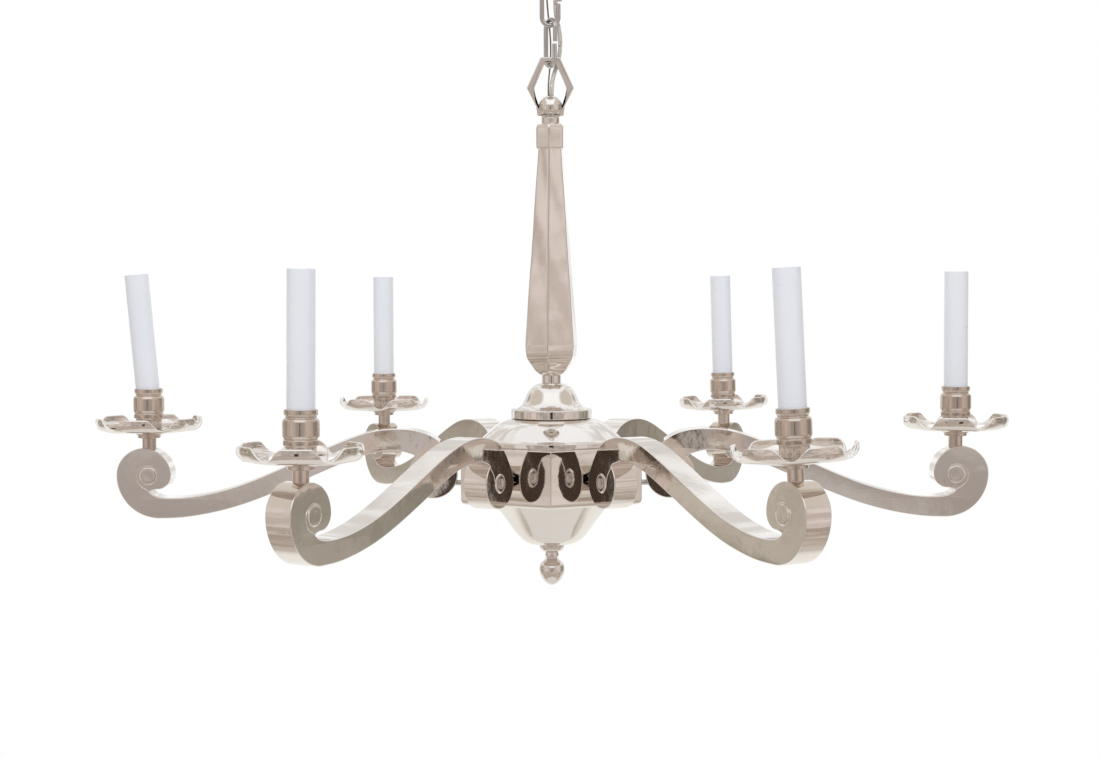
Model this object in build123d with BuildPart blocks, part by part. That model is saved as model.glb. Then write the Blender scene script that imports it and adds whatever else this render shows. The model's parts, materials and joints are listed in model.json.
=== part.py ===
"""Six-arm scroll chandelier: ceiling fitting, two chain links, column, hexagonal hub, arms and holders.

Millimetres, +Z up. The origin is on the ceiling plane, in the middle of the crossbar's two screw slots, and
the fixture hangs below it. Arm 1 points along +X and the arms are numbered anticlockwise seen from above.
Heights named *_z are measured from the plane of the candle cups' rims; up() turns them into model heights.
"""

import math
import os

from build123d import *

os.makedirs("parts", exist_ok=True)

# ---------------------------------------------------------------- driving dimensions
rim_drop = 430.0            # from the ceiling down to the rims of the candle cups
arm_reach = 373.0           # from the centre line to the axis of each candle holder
arm_azimuths = [0, 60, 120, 180, 240, 300]
play = 0.3                  # gap where two moving pieces touch
pipe_radius = 4.85          # lamp pipe, 1/8 inch size; a hole that it screws into has the same radius

arm_width = 24.0
inner_volute = (109.0, -79.0)       # radius from the centre line and height of the inner volute's centre
inner_volute_radius = 22.5
outer_volute_z = -79.6              # the outer volute winds inwards in three arcs centred at this height
underside_arc = (361.4, 39.8)       # centre's distance from the centre line, and radius
crown_arc = (376.1, 25.1)
tuck_arc = (363.8, 12.8)
crevice = (371.4, -94.5)            # where the tucked end meets the arm's top again

drum_apothem = 81.5
drum_top_z = -52.0
drum_bottom_z = -103.5
drum_wall = 4.0

column_turn = -7.4          # degrees that the column's front edge is turned from square
column_foot_z = 11.6
column_shoulder_z = 40.0
column_top_z = 219.0
cap_top_z = 242.0
collar_top_z = 248.0
ball_radius = 11.0
ball_z = 257.6

loop_top_z = 303.2
loop_bar = 5.9

link_length = 46.0
link_width = 19.3
link_wire = 4.3
link_turns = {"link_1": -58.0, "link_2": 0.0}   # azimuth of each link's own plane

pipe_bore = 3.3
pipe_clearance = 5.15       # radius of a hole that the lamp pipe passes through freely
canopy_radius = 65.0
canopy_sheet = 1.2
stud_radius = 13.6
eye_wire = 5.0
eye_opening = 18.0          # height of the ceiling eye's opening
eye_half_width = 8.0

sleeve_radius = 10.85
sleeve_wall = 0.9
sleeve_top_z = 105.9
sleeve_foot_z = -4.1
pan_radius = 49.0

# Sideways lean of each holder, of each sleeve in its cup, and the turn of each pan, in degrees.
holder_leans = [0.0, -1.5, 0.0, 0.0, 0.6, -2.7]
sleeve_leans = [0.0, 0.0, 0.0, -5.0, 0.0, 0.0]
pan_turns = [16.5, 20.5, 0.0, 26.5, 33.6, 50.0]

cord_diameter = 4.0
ground_diameter = 1.5

# ---------------------------------------------------------------- worked-out heights
bar_underside_z = loop_top_z - loop_bar
link_1_z = bar_underside_z - play - link_wire + link_length / 2
link_pitch = link_length - 2 * link_wire - play
link_2_z = link_1_z + link_pitch
eye_inner_z = link_2_z + link_length / 2 - link_wire - play
eye_top_z = eye_inner_z + eye_opening
eye_base_z = eye_top_z + 4.5
collar_height = 7.0
canopy_bottom_z = eye_base_z + 0.5 + collar_height
stud_top_z = canopy_bottom_z + 9.0
crossbar_thickness = 3.0
nut_height = 3.6
nut_across_flats = 14.0


def up(height):
    """Model height of a height measured from the cup rims."""
    return height - rim_drop


def keep(piece, name):
    """Label a finished piece and write its STEP file."""
    piece.part.label = name
    export_step(piece.part, f"parts/{name}.step")


# ---------------------------------------------------------------- ceiling fitting
crossbar_length = 106.0
crossbar_width = 25.0
slot_spacing = 88.9
slot_length = 10.0
slot_radius = 2.3

with BuildPart() as crossbar:
    with BuildSketch(Plane.XY.offset(-crossbar_thickness)):
        SlotOverall(crossbar_length, crossbar_width)
        Circle(pipe_radius, mode=Mode.SUBTRACT)
        with Locations((-slot_spacing / 2, 0), (slot_spacing / 2, 0)):
            SlotOverall(slot_length, 2 * slot_radius, mode=Mode.SUBTRACT)
    extrude(amount=crossbar_thickness)
keep(crossbar, "crossbar")

nipple_grip = 7.0           # length of the nipple inside the eye's stud
nipple_bottom = up(stud_top_z - nipple_grip)
with BuildPart() as ceiling_nipple:
    with BuildSketch(Plane.XY.offset(nipple_bottom)):
        Circle(pipe_radius)
        Circle(pipe_bore, mode=Mode.SUBTRACT)
    extrude(amount=-nipple_bottom)
keep(ceiling_nipple, "ceiling_nipple")

with BuildPart() as ceiling_nuts:
    for height in (up(stud_top_z), -crossbar_thickness - nut_height):
        with BuildSketch(Plane.XY.offset(height)):
            RegularPolygon(nut_across_flats / 2, 6, major_radius=False)
            Circle(pipe_radius, mode=Mode.SUBTRACT)
        extrude(amount=nut_height)
keep(ceiling_nuts, "ceiling_nuts")

# The eye: a wire loop in the YZ plane under a hollow threaded stud that carries the canopy collar.
eye_radius = eye_half_width + eye_wire / 2
eye_center_z = eye_inner_z + eye_half_width
stud_bore = 5.5
shoulder_radius = stud_radius - 0.2
with BuildPart() as ceiling_eye:
    with BuildLine(Plane.YZ) as eye_path:
        arc = CenterArc((0, up(eye_center_z)), eye_radius, 180, 180)
        Line(arc @ 0, (-eye_radius, up(eye_top_z + 1)))
        Line(arc @ 1, (eye_radius, up(eye_top_z + 1)))
    with BuildSketch(Plane(origin=(0, 0, up(eye_center_z) - eye_radius), z_dir=(0, 1, 0))):
        Circle(eye_wire / 2)
    sweep(path=eye_path.line)
    with BuildSketch(Plane.XY.offset(up(eye_top_z))):
        Circle(shoulder_radius)
        Circle(stud_bore, mode=Mode.SUBTRACT)
    extrude(amount=eye_base_z - eye_top_z)
    with BuildSketch(Plane.XY.offset(up(eye_base_z))):
        Circle(stud_radius)
        Circle(stud_bore, mode=Mode.SUBTRACT)
    extrude(amount=stud_top_z - eye_base_z)
    with BuildSketch(Plane.XY.offset(nipple_bottom)):
        Circle(stud_bore + 0.1)
        Circle(pipe_radius, mode=Mode.SUBTRACT)
    extrude(amount=nipple_grip)
keep(ceiling_eye, "ceiling_eye")

canopy_floor = up(canopy_bottom_z)
canopy_lip = canopy_radius - 1.6
canopy_bore = stud_radius + 0.6
canopy_flat = 21.0          # radius of the flat that the screw collar bears on
with BuildPart() as canopy:
    with BuildSketch(Plane.XZ):
        with BuildLine():
            flat = Line((canopy_bore, canopy_floor), (canopy_flat, canopy_floor))
            shell = ThreePointArc(flat @ 1, (52, canopy_floor + 9.5), (canopy_lip, -3))
            lip = Polyline(shell @ 1, (canopy_radius, -2), (canopy_radius, 0), (canopy_lip, 0),
                           (canopy_lip - canopy_sheet, -3))
            lining = ThreePointArc(lip @ 1, (51.2, canopy_floor + 10.6),
                                   (canopy_flat, canopy_floor + canopy_sheet))
            Polyline(lining @ 1, (canopy_bore, canopy_floor + canopy_sheet), flat @ 0)
        make_face()
    revolve(axis=Axis.Z)
keep(canopy, "canopy")

collar_radius = 20.5
collar_bore = stud_radius + 0.2
collar_chamfer = 1.2
with BuildPart() as canopy_collar:
    with BuildSketch(Plane.XY.offset(up(canopy_bottom_z) - collar_height)):
        Circle(collar_radius)
        Circle(collar_bore, mode=Mode.SUBTRACT)
    extrude(amount=collar_height - 0.1)
    outer_edges = canopy_collar.edges().filter_by(GeomType.CIRCLE).sort_by(SortBy.RADIUS)[-2:]
    chamfer(outer_edges, collar_chamfer)
keep(canopy_collar, "canopy_collar")

# ---------------------------------------------------------------- chain
link_arc = (link_width - link_wire) / 2
link_straight = link_length / 2 - link_wire / 2 - link_arc
link_spread = 1.2           # how far the cut leg stands outside the other half
link_gap = 1.8


def chain_link(name, height):
    """A bent-wire link with its cut in the middle of one leg, the two ends a little out of line."""
    across = Vector(1, 0, 0).rotate(Axis.Z, link_turns[name])
    side = Plane(origin=(0, 0, up(height)), x_dir=across, z_dir=across.rotate(Axis.Z, -90))
    with BuildPart() as link:
        with BuildLine(side) as path:
            low_end = (link_arc, -link_gap / 2)
            lower = Line(low_end, (link_arc, -link_straight))
            bottom = TangentArc(lower @ 1, (-link_arc, -link_straight), tangent=lower % 1)
            left = Line(bottom @ 1, (-link_arc, link_straight))
            top = TangentArc(left @ 1, (link_arc + link_spread, link_straight), tangent=left % 1)
            Line(top @ 1, (link_arc + link_spread, link_gap / 2))
        start = path.line @ 0
        with BuildSketch(Plane(origin=start, z_dir=path.line % 0)):
            Circle(link_wire / 2)
        sweep(path=path.line)
    keep(link, name)


chain_link("link_1", link_1_z)
chain_link("link_2", link_2_z)

# ---------------------------------------------------------------- hanging loop, ball nut and column
loop_half_top = 8.75
loop_half_wide = 21.7
loop_wide_z = 275.0
loop_half_foot = 8.0
loop_depth = 6.0
loop_foot_thickness = 3.0
loop_inner_foot = 11.2      # half width of the opening at its foot
foot_fillet_height = 5.0
bar_chamfer = 2.2
slope_bar = 1.2 * loop_bar  # the sloping bars' width, measured level
top_corner = 0.62 * loop_bar

with BuildPart() as hanging_loop:
    with BuildSketch(Plane.XZ.offset(-loop_depth / 2)) as loop_face:
        with BuildLine() as loop_outline:
            Polyline(
                (-loop_half_foot, up(collar_top_z)),
                (-loop_half_wide, up(loop_wide_z)),
                (-loop_half_top, up(loop_top_z)),
                (loop_half_top, up(loop_top_z)),
                (loop_half_wide, up(loop_wide_z)),
                (loop_half_foot, up(collar_top_z)),
                close=True,
            )
        make_face()
        with BuildLine():
            Polyline(
                (-loop_inner_foot, up(collar_top_z + loop_foot_thickness)),
                (-loop_inner_foot, up(collar_top_z + foot_fillet_height)),
                (slope_bar - loop_half_wide, up(loop_wide_z)),
                (top_corner - loop_half_top, up(bar_underside_z)),
                (loop_half_top - top_corner, up(bar_underside_z)),
                (loop_half_wide - slope_bar, up(loop_wide_z)),
                (loop_inner_foot, up(collar_top_z + foot_fillet_height)),
                (loop_inner_foot, up(collar_top_z + loop_foot_thickness)),
                close=True,
            )
        make_face(mode=Mode.SUBTRACT)
    extrude(amount=loop_depth)
    with BuildSketch(Plane.XY.offset(up(collar_top_z))):
        Circle(pipe_radius)
    extrude(amount=loop_foot_thickness + 1, mode=Mode.SUBTRACT)
    with BuildSketch(Plane.XY.offset(up(collar_top_z + loop_foot_thickness))):
        Circle(ball_radius + play)
    extrude(amount=2 * ball_radius - 1, mode=Mode.SUBTRACT)
    under_bar = hanging_loop.edges().filter_by(Axis.X).filter_by(
        lambda edge: abs(edge.center().Z - up(bar_underside_z)) < 0.01)
    chamfer(under_bar, bar_chamfer)
keep(hanging_loop, "hanging_loop")

nut_seat_z = collar_top_z + loop_foot_thickness
ball_foot = math.sqrt(ball_radius**2 - (ball_z - nut_seat_z) ** 2)
wire_hole = 3.2
with BuildPart() as ball_nut:
    with BuildSketch(Plane.XZ):
        with BuildLine():
            round_side = ThreePointArc((ball_foot, up(nut_seat_z)), (ball_radius, up(ball_z)),
                                       (wire_hole, up(ball_z) + math.sqrt(ball_radius**2 - wire_hole**2)))
            Polyline(round_side @ 1, (wire_hole, up(ball_z)), (pipe_radius, up(ball_z)),
                     (pipe_radius, up(nut_seat_z)), round_side @ 0)
        make_face()
    revolve(axis=Axis.Z)
keep(ball_nut, "ball_nut")

column_collar_radius = 8.5
with BuildPart() as column_collar:
    with BuildSketch(Plane.XY.offset(up(cap_top_z))):
        Circle(column_collar_radius)
        Circle(pipe_radius, mode=Mode.SUBTRACT)
    extrude(amount=collar_top_z - cap_top_z)
    chamfer(column_collar.edges().filter_by(GeomType.CIRCLE).sort_by(SortBy.RADIUS)[-2:], 0.8)
keep(column_collar, "column_collar")

cap_corner_radius = 14.3
cap_chamfer = 1.8
with BuildPart() as column_cap:
    with BuildSketch(Plane.XY.offset(up(column_top_z))):
        RegularPolygon(cap_corner_radius, 6, rotation=column_turn + 30)
        Circle(pipe_radius, mode=Mode.SUBTRACT)
    extrude(amount=cap_top_z - column_top_z)
    chamfer(column_cap.faces().sort_by(Axis.Z)[-1].outer_wire().edges(), cap_chamfer)
keep(column_cap, "column_cap")

# Height and corner radius of the column's foot, which flares out to the shoulder as an ogee.
column_flare = [(column_foot_z, 10.5), (16.0, 16.5), (20.0, 19.4), (24.0, 22.6), (29.0, 24.9),
                (34.0, 25.8), (column_shoulder_z, 26.2), (column_top_z, 12.5)]
with BuildPart() as column:
    for height, corner in column_flare:
        with BuildSketch(Plane.XY.offset(up(height))):
            RegularPolygon(corner, 6, rotation=column_turn + 30)
    loft(ruled=True)
    with BuildSketch(Plane.XY.offset(up(column_foot_z))):
        Circle(pipe_clearance)
    extrude(amount=column_top_z - column_foot_z, mode=Mode.SUBTRACT)
keep(column, "column")

bell_bottom_z = -19.8
bell_top_z = 4.3
bell_hollow_radius = 18.0
bell_boss_radius = 8.0
bell_hollow_depth = 14.0
neck_radius = 8.9
with BuildPart() as column_neck:
    with BuildSketch(Plane.XY.offset(up(bell_top_z))):
        Circle(neck_radius)
        Circle(pipe_clearance, mode=Mode.SUBTRACT)
    extrude(amount=column_foot_z - bell_top_z)
keep(column_neck, "column_neck")

with BuildPart() as bell:
    with BuildSketch(Plane.XZ):
        with BuildLine():
            base = Line((pipe_clearance, up(bell_bottom_z)), (34, up(bell_bottom_z)))
            waist = Spline(base @ 1, (27.5, up(-15.5)), (24.2, up(-9.6)), (20.4, up(-2.2)),
                           (14.9, up(2.4)), (neck_radius, up(bell_top_z)))
            Polyline(waist @ 1, (pipe_clearance, up(bell_top_z)), base @ 0)
        make_face()
    revolve(axis=Axis.Z)
    with BuildSketch(Plane.XY.offset(up(bell_bottom_z))):
        Circle(bell_hollow_radius)
        Circle(bell_boss_radius, mode=Mode.SUBTRACT)
    extrude(amount=bell_hollow_depth, mode=Mode.SUBTRACT)
keep(bell, "bell")

ring_bottom_z = -28.0
ring_radius = 37.4
ring_chamfer = 1.0
with BuildPart() as step_ring:
    with BuildSketch(Plane.XY.offset(up(ring_bottom_z))):
        Circle(ring_radius)
        Circle(pipe_clearance, mode=Mode.SUBTRACT)
    extrude(amount=bell_bottom_z - ring_bottom_z)
    chamfer(step_ring.faces().sort_by(Axis.Z)[-1].outer_wire().edges(), ring_chamfer)
keep(step_ring, "step_ring")

dome_wall = 2.0
dome_rim = 70.5
dome_inner_rim = 62.0
with BuildPart() as dome_cover:
    with BuildSketch(Plane.XZ):
        with BuildLine():
            crown = Line((pipe_clearance, up(ring_bottom_z)), (35, up(ring_bottom_z)))
            outside = Spline(crown @ 1, (52, up(-35.5)), (64, up(-46.0)), tangents=((1, -0.15), (1, -1.3)))
            Polyline(outside @ 1, (dome_rim, up(-47.5)), (dome_rim, up(drum_top_z)),
                     (dome_inner_rim, up(drum_top_z)))
            inner = Spline((dome_inner_rim, up(drum_top_z)), (50, up(-38.5)),
                           (34, up(ring_bottom_z - dome_wall)), tangents=((-0.6, 1), (-1, 0.15)))
            Polyline(inner @ 1, (pipe_clearance, up(ring_bottom_z - dome_wall)), crown @ 0)
        make_face()
    revolve(axis=Axis.Z)
keep(dome_cover, "dome_cover")

# ---------------------------------------------------------------- hub
def screw_plane(outward, distance, height):
    """The plane across an arm screw at a distance from the centre line."""
    return Plane(origin=outward * distance + Vector(0, 0, up(height)), z_dir=outward)


screw_heights = (-70.0, -88.0)
screw_radius = 2.5
screw_depth = 12.0
screw_head_radius = 4.2
screw_head_height = 3.0
drum_fillet = 5.0
drum_floor_opening = 54.0
drum_top_opening = 40.0

with BuildPart() as hub_drum:
    with BuildSketch(Plane.XY.offset(up(drum_bottom_z))):
        RegularPolygon(drum_apothem, 6, major_radius=False, rotation=30)
    extrude(amount=drum_top_z - drum_bottom_z)
    fillet(hub_drum.faces().sort_by(Axis.Z)[0].edges(), drum_fillet)
    with BuildSketch(Plane.XY.offset(up(drum_bottom_z))):
        Circle(drum_floor_opening)
    extrude(amount=drum_wall, mode=Mode.SUBTRACT)
    with BuildSketch(Plane.XY.offset(up(drum_bottom_z) + drum_wall)):
        RegularPolygon(drum_apothem - drum_wall, 6, major_radius=False, rotation=30)
    extrude(amount=drum_top_z - drum_bottom_z - 2 * drum_wall, mode=Mode.SUBTRACT)
    with BuildSketch(Plane.XY.offset(up(drum_top_z) - drum_wall)):
        Circle(drum_top_opening)
    extrude(amount=drum_wall, mode=Mode.SUBTRACT)
    for azimuth in arm_azimuths:
        outward = Vector(1, 0, 0).rotate(Axis.Z, azimuth)
        for height in screw_heights:
            with BuildSketch(screw_plane(outward, drum_apothem - drum_wall - 1, height)):
                Circle(screw_radius)
            extrude(amount=drum_wall + 2, mode=Mode.SUBTRACT)
keep(hub_drum, "hub_drum")

wire_hole_circle = 34.0     # the plate's three wire holes lie on this radius
wire_hole_radius = 8.0
with BuildPart() as hub_plate:
    with BuildSketch(Plane.XY.offset(up(drum_bottom_z))):
        Circle(drum_floor_opening - 0.2)
        Circle(pipe_radius, mode=Mode.SUBTRACT)
        with PolarLocations(wire_hole_circle, 3):
            Circle(wire_hole_radius, mode=Mode.SUBTRACT)
    extrude(amount=drum_wall)
keep(hub_plate, "hub_plate")

bowl_bottom_z = -145.8
bowl_wall = 1.8
bowl_rim = 57.0
bowl_inner_rim = 52.0
with BuildPart() as bowl:
    with BuildSketch(Plane.XZ):
        with BuildLine():
            rim = Line((bowl_inner_rim, up(drum_bottom_z)), (bowl_rim, up(drum_bottom_z)))
            outside = Spline(rim @ 1, (46.3, up(-116.5)), (40, up(-125)), (33.8, up(-133.5)),
                             (26.6, up(-141)), (17.2, up(-144.9)), (11.5, up(bowl_bottom_z)))
            floor_z = up(bowl_bottom_z + bowl_wall)
            floor = Polyline(outside @ 1, (pipe_radius, up(bowl_bottom_z)), (pipe_radius, floor_z),
                             (12, floor_z))
            Spline(floor @ 1, (25.2, up(-139.2)), (37.4, up(-124.3)), (44, up(-115)), rim @ 0)
        make_face()
    revolve(axis=Axis.Z)
keep(bowl, "bowl")

finial_bore_depth = 4.5
with BuildPart() as finial:
    with BuildSketch(Plane.XZ):
        with BuildLine():
            top = Line((0, up(bowl_bottom_z)), (12, up(bowl_bottom_z)))
            saucer = Spline(top @ 1, (10.2, up(-150.5)), (6.0, up(-152.6)))
            neck = Polyline(saucer @ 1, (6.4, up(-154)), (6.4, up(-156)), (5.6, up(-158)), (7.0, up(-160)))
            acorn = Spline(neck @ 1, (11.3, up(-164.5)), (11.7, up(-170.5)), (8.2, up(-178.5)),
                           (0, up(-183.6)), tangents=((1, -0.5), (-1, -0.75)))
            Line(acorn @ 1, top @ 0)
        make_face()
    revolve(axis=Axis.Z)
    with BuildSketch(Plane.XY.offset(up(bowl_bottom_z))):
        Circle(pipe_radius)
    extrude(amount=-finial_bore_depth, mode=Mode.SUBTRACT)
keep(finial, "finial")

rod_bottom_z = bowl_bottom_z - finial_bore_depth + 0.2
rod_top_z = ball_z - 0.2
with BuildPart() as centre_rod:
    with BuildSketch(Plane.XY.offset(up(rod_bottom_z))):
        Circle(pipe_radius)
        Circle(pipe_bore, mode=Mode.SUBTRACT)
    extrude(amount=rod_top_z - rod_bottom_z)
keep(centre_rod, "centre_rod")

with BuildPart() as rod_nuts:
    for height in (drum_bottom_z + drum_wall, ring_bottom_z - dome_wall - nut_height):
        with BuildSketch(Plane.XY.offset(up(height))):
            RegularPolygon(nut_across_flats / 2, 6, major_radius=False)
            Circle(pipe_radius, mode=Mode.SUBTRACT)
        extrude(amount=nut_height)
keep(rod_nuts, "rod_nuts")

with BuildPart() as arm_screws:
    for azimuth in arm_azimuths:
        outward = Vector(1, 0, 0).rotate(Axis.Z, azimuth)
        for height in screw_heights:
            head = screw_plane(outward, drum_apothem - drum_wall - screw_head_height, height)
            with BuildSketch(head):
                Circle(screw_head_radius)
            extrude(amount=screw_head_height)
            with BuildSketch(head.offset(screw_head_height)):
                Circle(screw_radius)
            extrude(amount=screw_depth)
keep(arm_screws, "arm_screws")

# ---------------------------------------------------------------- candle holders
stem_radius = 6.4
stem_seat_z = -58.0
stem_collar_z = -45.5
stem_flange_z = -42.6
pan_floor_z = -39.6
pan_lip_z = -26.4
pan_sheet = 2.6
pan_lip = 2.4                # thickness at the lip's top
pan_tuck = 0.7               # how far the lip's top leans in from the rim's widest line
notch_half_width = 13.8
notch_depth = 9.6
cup_foot_z = pan_floor_z + pan_sheet
cup_floor_z = -18.0
nipple_foot_z = stem_seat_z - 8
nipple_tip_z = -13.0


def leaning(foot, height, lean):
    """A plane at the cup rims, square to an axis that leans in the XZ plane about a foot at that height."""
    axis = Vector(math.sin(math.radians(lean)), 0, math.cos(math.radians(lean)))
    return Plane(origin=foot - axis * height, z_dir=axis, x_dir=(axis.Z, 0, -axis.X))


lean_point_z = -9.0          # a sleeve and its socket lean about this height on the holder's axis
holders = []
sleeve_planes = []
for azimuth, lean, extra in zip(arm_azimuths, holder_leans, sleeve_leans):
    seat = Vector(arm_reach, 0, 0).rotate(Axis.Z, azimuth) + Vector(0, 0, up(stem_seat_z))
    holder = leaning(seat, stem_seat_z, lean)
    holders.append(holder)
    sleeve_planes.append(leaning(holder.origin + holder.z_dir * lean_point_z, lean_point_z, lean + extra))


def ring_group(piece_name, planes, rings):
    """Stacks of plain rings, one stack on each plane: (bottom, top, outer radius, inner radius)."""
    with BuildPart() as group:
        for plane in planes:
            for bottom, top, outer, inner in rings:
                with BuildSketch(plane.offset(bottom)):
                    Circle(outer)
                    if inner:
                        Circle(inner, mode=Mode.SUBTRACT)
                extrude(amount=top - bottom)
    keep(group, piece_name)


ring_group("candle_nipples", holders, [(nipple_foot_z, nipple_tip_z, pipe_radius, pipe_bore)])
ring_group("candle_stems", holders, [
    (stem_seat_z, stem_collar_z, stem_radius, pipe_radius),
    (stem_collar_z, stem_flange_z, 10.4, pipe_radius),
    (stem_flange_z, pan_floor_z, 12.0, pipe_radius),
])

for number, (holder, azimuth, turn) in enumerate(zip(holders, arm_azimuths, pan_turns), start=1):
    dish = Plane(origin=holder.origin, z_dir=holder.z_dir,
                 x_dir=holder.x_dir.rotate(Axis((0, 0, 0), holder.z_dir), azimuth + turn))
    with BuildPart() as pan:
        with BuildSketch(Plane(origin=dish.origin, x_dir=dish.x_dir, z_dir=-dish.y_dir)):
            with BuildLine():
                below = Polyline((pipe_radius, pan_floor_z), (36, pan_floor_z))
                rise = Spline(below @ 1, (42.8, -38.6), (47.4, -35.2), (pan_radius, -31.2),
                              (pan_radius - pan_tuck, pan_lip_z), tangents=((1, 0), (-0.25, 1)))
                edge = Line(rise @ 1, (pan_radius - pan_tuck - pan_lip, pan_lip_z))
                fall = Spline(edge @ 1, (46.4, -31), (44.8, -33.8), (41, -36.1), (35, cup_foot_z),
                              tangents=((0.25, -1), (-1, 0)))
                Polyline(fall @ 1, (pipe_radius, cup_foot_z), below @ 0)
            make_face()
        revolve(axis=Axis(dish.origin, dish.z_dir))
        for step in range(6):
            between = dish.x_dir.rotate(Axis((0, 0, 0), dish.z_dir), 30 + 60 * step)
            notch = Plane(origin=dish.origin + dish.z_dir * (pan_lip_z + 0.5) + between * 30,
                          x_dir=between.cross(dish.z_dir), z_dir=between)
            with BuildSketch(notch):
                Ellipse(notch_half_width, notch_depth + 0.5)
            extrude(amount=25, mode=Mode.SUBTRACT)
    keep(pan, f"pan_{number}")

    with BuildPart() as cup:
        with BuildSketch(Plane(origin=holder.origin, x_dir=holder.x_dir, z_dir=-holder.y_dir)):
            with BuildLine():
                Polyline(
                    (pipe_radius, cup_foot_z), (11.8, cup_foot_z), (11.8, -27.5), (13.5, -27.0),
                    (13.5, -23.0), (12.6, -22.4), (13.2, -21.6), (14.1, -20.0), (14.1, -9.0),
                    (13.4, -7.2), (11.7, -6.2), (12.1, -4.6), (13.0, -3.4), (13.0, 0), (12.2, 0),
                    (11.3, sleeve_foot_z), (9.6, sleeve_foot_z), (9.6, cup_floor_z),
                    (pipe_radius, cup_floor_z), close=True,
                )
            make_face()
        revolve(axis=Axis(holder.origin, holder.z_dir))
    keep(cup, f"cup_{number}")

socket_foot_z = -16.8
bracket_top_z = 62.0
socket_radius = 8.6
socket_top_z = 98.0
screw_shell_radius = 6.0
shell_seat_radius = 6.6
shell_depth = 24.0
shell_foot_z = socket_top_z - shell_depth
contact_radius = 2.0
strap = (1.4, 7.0)           # thickness and width of the bracket's upright
strap_offset = 7.3
bracket_sheet = 1.5
bracket_radius = 8.2
with BuildPart() as socket_brackets:
    for plane in sleeve_planes:
        with BuildSketch(plane.offset(socket_foot_z)):
            Circle(bracket_radius)
            Circle(pipe_radius + 1.1, mode=Mode.SUBTRACT)
        extrude(amount=bracket_sheet)
        with BuildSketch(plane.offset(socket_foot_z + bracket_sheet)):
            with Locations((strap_offset, 0)):
                Rectangle(*strap)
        extrude(amount=bracket_top_z - socket_foot_z - 2 * bracket_sheet)
        with BuildSketch(plane.offset(bracket_top_z - bracket_sheet)):
            Circle(bracket_radius)
            Circle(contact_radius, mode=Mode.SUBTRACT)
        extrude(amount=bracket_sheet)
keep(socket_brackets, "socket_brackets")

ring_group("socket_bodies", sleeve_planes, [
    (bracket_top_z, shell_foot_z - 2, socket_radius, contact_radius),
    (shell_foot_z - 2, socket_top_z, socket_radius, shell_seat_radius),
])
ring_group("socket_shells", sleeve_planes, [
    (shell_foot_z, socket_top_z - 0.5, shell_seat_radius, screw_shell_radius),
])
ring_group("socket_contacts", sleeve_planes, [
    (bracket_top_z + 4, shell_foot_z - 1.5, contact_radius, None),
])

for number, (plane, extra) in enumerate(zip(sleeve_planes, sleeve_leans), start=1):
    foot_z = sleeve_foot_z + 0.05 + sleeve_radius * math.sin(math.radians(abs(extra)))
    with BuildPart() as sleeve:
        with BuildSketch(plane.offset(foot_z)):
            Circle(sleeve_radius)
            Circle(sleeve_radius - sleeve_wall, mode=Mode.SUBTRACT)
        extrude(amount=sleeve_top_z - foot_z)
        fillet(sleeve.edges().filter_by(GeomType.CIRCLE).group_by(Axis.Z)[-1], 0.35)
    keep(sleeve, f"candle_sleeve_{number}")

# ---------------------------------------------------------------- arms
inner_r, inner_z = inner_volute
inner_start = (inner_r - inner_volute_radius * math.cos(math.radians(30)),
               up(inner_z + inner_volute_radius * math.sin(math.radians(30))))
arm_bottom = (underside_arc[0], up(outer_volute_z) - underside_arc[1])
crevice_tip = (crevice[0], up(crevice[1]))
stem_socket_depth = 12.0

for number, (azimuth, holder) in enumerate(zip(arm_azimuths, holders), start=1):
    outward = Vector(1, 0, 0).rotate(Axis.Z, azimuth)
    side = Plane(origin=(0, 0, 0), x_dir=outward, z_dir=outward.rotate(Axis.Z, -90))
    with BuildPart() as arm:
        with BuildSketch(side.offset(-arm_width / 2)):
            with BuildLine():
                Spline(
                    crevice_tip, (367.5, up(-97.6)), (361, up(-99.8)), (350, up(-100.6)), (323, up(-98)),
                    (290, up(-89.6)), (252, up(-74.6)), (194, up(-49)), (168, up(-40)), (146.6, up(-37)),
                    (125, up(-38.6)), (106, up(-46.5)), (95.8, up(-58.2)), inner_start,
                )
                hook = CenterArc((inner_r, up(inner_z)), inner_volute_radius, 150, 255)
                under_start = (inner_r + 18, up(-61.2))
                Line(hook @ 1, under_start)
                Spline(
                    under_start, (141, up(-57.4)), (172, up(-61.5)), (212, up(-77)), (252, up(-94.2)),
                    (290, up(-108.2)), (325, up(-116.4)), (347, up(-119)), arm_bottom,
                )
                CenterArc((underside_arc[0], up(outer_volute_z)), underside_arc[1], -90, 90)
                CenterArc((crown_arc[0], up(outer_volute_z)), crown_arc[1], 0, 180)
                tuck = CenterArc((tuck_arc[0], up(outer_volute_z)), tuck_arc[1], 180, 90)
                Spline(tuck @ 1, (368, up(-93)), crevice_tip)
            make_face()
        extrude(amount=arm_width)
        with BuildSketch(holder.offset(stem_seat_z)):
            Circle(stem_radius)
        extrude(amount=stem_socket_depth, mode=Mode.SUBTRACT)
        with BuildSketch(holder.offset(nipple_foot_z)):
            Circle(pipe_radius)
        extrude(amount=stem_seat_z - nipple_foot_z + 1, mode=Mode.SUBTRACT)
        for height in screw_heights:
            with BuildSketch(screw_plane(outward, drum_apothem - 1, height)):
                Circle(screw_radius)
            extrude(amount=screw_depth - drum_wall + 1, mode=Mode.SUBTRACT)
    keep(arm, f"arm_{number}")

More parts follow.
